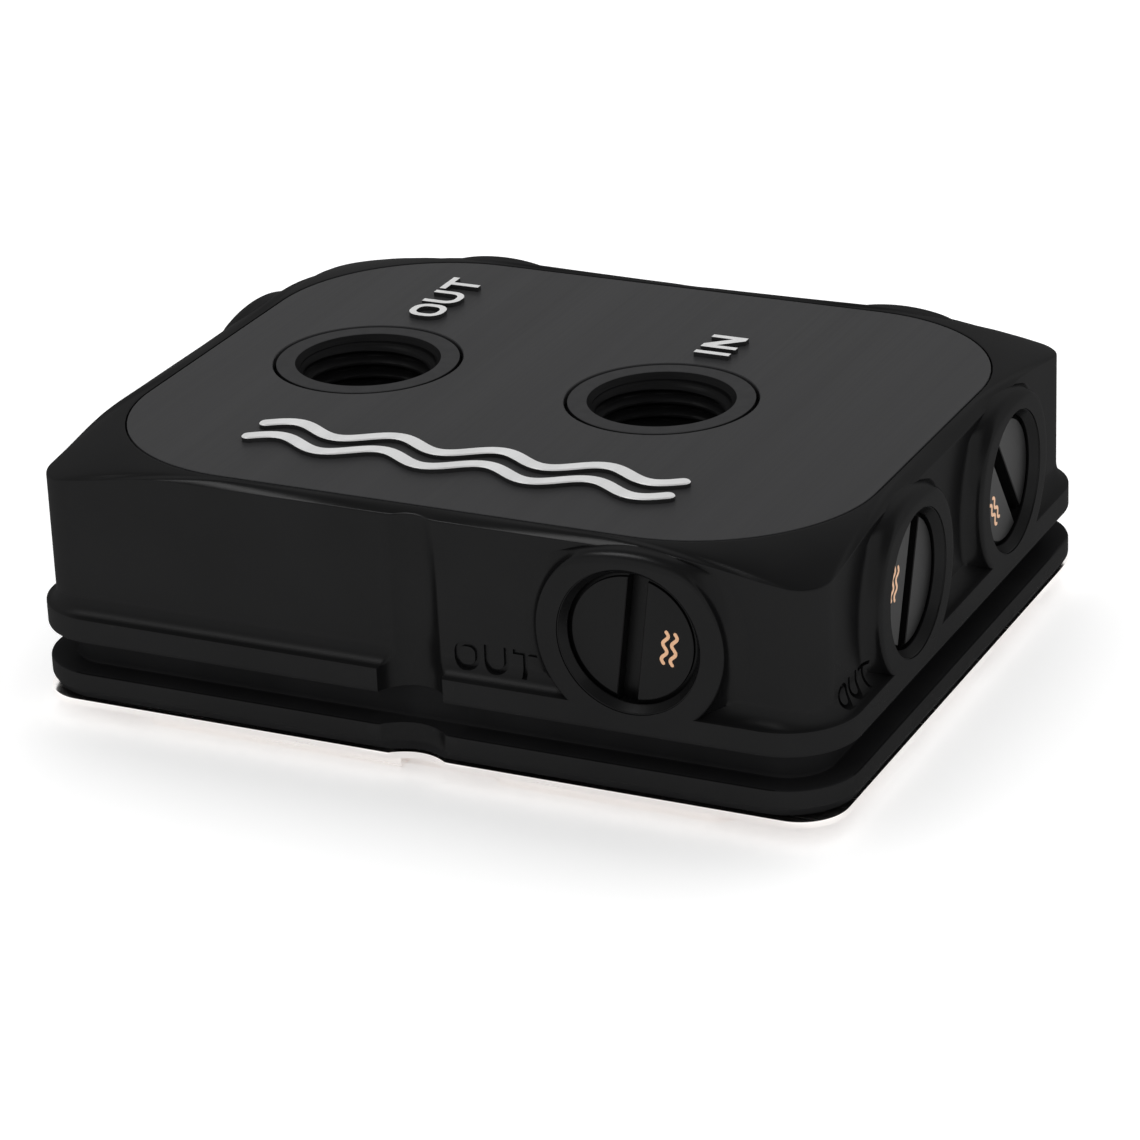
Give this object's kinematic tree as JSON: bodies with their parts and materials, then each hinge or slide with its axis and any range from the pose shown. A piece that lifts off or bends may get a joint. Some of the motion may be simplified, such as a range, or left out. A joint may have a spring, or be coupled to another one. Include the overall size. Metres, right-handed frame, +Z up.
{
  "type": "cpu water block",
  "caption": "Low rectangular liquid-cooling block with threaded ports on top, slotted plugs in side bosses and a finned metal cold plate below.",
  "frame": {"origin": "middle of the contact pad's underside, which is the lowest face", "axes": "+Z up through the cover plate, +X to the right along the front side that has one plug, +Y to the back"},
  "size_m": [0.081, 0.0666, 0.0263],
  "materials": {
    "black_acetal": "satin moulded",
    "brushed_black_aluminium": "brushed and anodised black",
    "nickel_plated_copper": "bright nickel plating with a warm tint",
    "plug_black": "black plated, satin",
    "seal_rubber": "matt",
    "stainless_steel": "plain"
  },
  "bodies": {
    "root": {"housing": "black_acetal", "top_plate": "brushed_black_aluminium", "cold_plate": "nickel_plated_copper", "jet_plate": "stainless_steel", "base_seal": "seal_rubber", "plug_front": "plug_black", "plug_right_front": "plug_black", "plug_right_rear": "plug_black", "plug_back_right": "plug_black", "plug_back_left": "plug_black", "plug_left_rear": "plug_black", "plug_seal_front": "seal_rubber", "plug_seal_right_front": "seal_rubber", "plug_seal_right_rear": "seal_rubber", "plug_seal_back_right": "seal_rubber", "plug_seal_back_left": "seal_rubber", "plug_seal_left_rear": "seal_rubber", "base_screw_1": "stainless_steel", "base_screw_2": "stainless_steel", "base_screw_3": "stainless_steel", "base_screw_4": "stainless_steel", "base_screw_5": "stainless_steel", "base_screw_6": "stainless_steel", "base_screw_7": "stainless_steel", "base_screw_8": "stainless_steel"}
  },
  "joints": []
}
